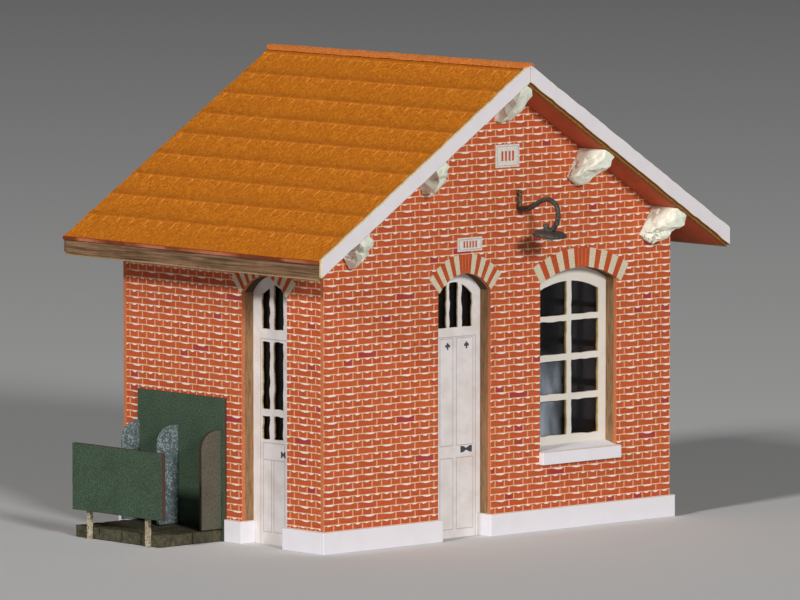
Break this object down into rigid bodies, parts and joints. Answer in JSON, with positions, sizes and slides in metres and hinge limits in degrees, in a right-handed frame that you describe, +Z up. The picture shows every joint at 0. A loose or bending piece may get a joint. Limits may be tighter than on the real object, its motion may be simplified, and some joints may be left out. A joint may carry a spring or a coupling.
{
  "type": "model railway station building",
  "caption": "Card scale model of a small brick railway station building with a gabled tiled roof, arched doors and windows, a swan-neck lamp and an open urinal annex.",
  "frame": {"origin": "centre of the building plan over its brick faces, at ground level", "axes": "+Z up, the gable front with its door and window faces -Y, the urinal annex is on the -X side"},
  "size_m": [0.0775, 0.0525, 0.0605],
  "materials": {
    "grey_board": "raw grey-brown board",
    "brick_print": "matt printed card",
    "arch_print": "matt printed paper",
    "white_card": "matt white card",
    "clear_sheet": "clear glossy sheet",
    "tile_card": "matt embossed card",
    "roof_board": "matt red-brown board",
    "fascia_strip": "brown streaked card",
    "plaster": "rough off-white plaster",
    "plaque_print": "matt white paper",
    "lamp_metal": "dark satin paint",
    "lamp_bulb": "pale glossy bead",
    "stone_print": "matt dark stone print",
    "green_card": "matt dark green card",
    "olive_card": "matt olive-grey card",
    "granite_print": "matt speckled print",
    "leg_wire": "dull painted strip"
  },
  "bodies": {
    "root": {"back_bargeboard": "white_card", "back_brick_facing": "brick_print", "back_corbels": "plaster", "back_plinth": "white_card", "back_wall_board": "grey_board", "date_plaque": "plaque_print", "floor_board": "grey_board", "front_bargeboard": "white_card", "front_brick_facing": "brick_print", "front_corbels": "plaster", "front_door": "white_card", "front_door_arch": "arch_print", "front_door_glazing": "clear_sheet", "front_plinth": "white_card", "front_wall_board": "grey_board", "front_window_arch": "arch_print", "front_window_frame": "white_card", "front_window_glazing": "clear_sheet", "front_window_sill": "white_card", "lamp_bracket": "lamp_metal", "lamp_bulb": "lamp_bulb", "lamp_shade": "lamp_metal", "left_brick_facing": "brick_print", "left_door": "white_card", "left_door_arch": "arch_print", "left_door_glazing": "clear_sheet", "left_eave_fascia": "fascia_strip", "left_plinth": "white_card", "left_roof_deck": "roof_board", "left_roof_tiles": "tile_card", "left_wall_board": "grey_board", "ridge_cap": "tile_card", "right_brick_facing": "brick_print", "right_eave_fascia": "fascia_strip", "right_plinth": "white_card", "right_roof_deck": "roof_board", "right_roof_tiles": "tile_card", "right_wall_board": "grey_board", "right_window_arch": "arch_print", "right_window_frame": "white_card", "right_window_glazing": "clear_sheet", "right_window_sill": "white_card", "sign_plaque": "plaque_print", "urinal_back_panel": "green_card", "urinal_base": "stone_print", "urinal_leg_1": "leg_wire", "urinal_leg_2": "leg_wire", "urinal_partition_1": "olive_card", "urinal_partition_2": "granite_print", "urinal_partition_3": "granite_print", "urinal_screen": "green_card"}
  },
  "joints": []
}
